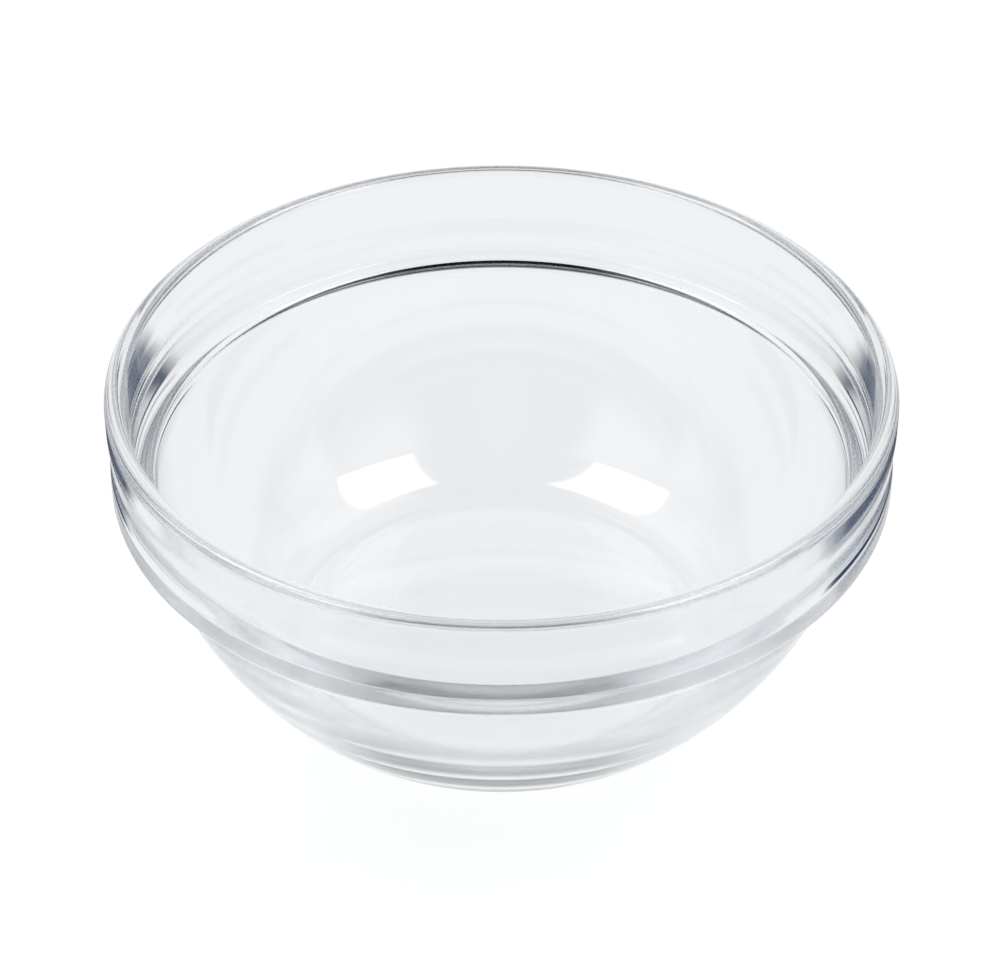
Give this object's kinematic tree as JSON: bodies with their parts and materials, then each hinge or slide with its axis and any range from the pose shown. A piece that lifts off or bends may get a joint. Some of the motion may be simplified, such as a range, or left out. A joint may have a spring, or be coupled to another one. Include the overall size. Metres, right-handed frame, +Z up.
{
  "type": "prep bowl",
  "caption": "Round stackable prep bowl of clear pressed glass, with a rounded rim, an upright stacking band, an inner ledge and a curved wall down to a flat foot ring.",
  "frame": {"origin": "centre of the foot, on the surface that the bowl stands on", "axes": "+Z points up along the bowl's axis, from the foot to the rim; X and Y are alike, because the bowl is round"},
  "size_m": [0.12, 0.12, 0.053],
  "materials": {
    "clear_glass": "polished clear pressed soda-lime glass, very faintly cool in tone, with the soft ripple that pressing leaves"
  },
  "bodies": {
    "root": {"glass_bowl": "clear_glass"}
  },
  "joints": []
}
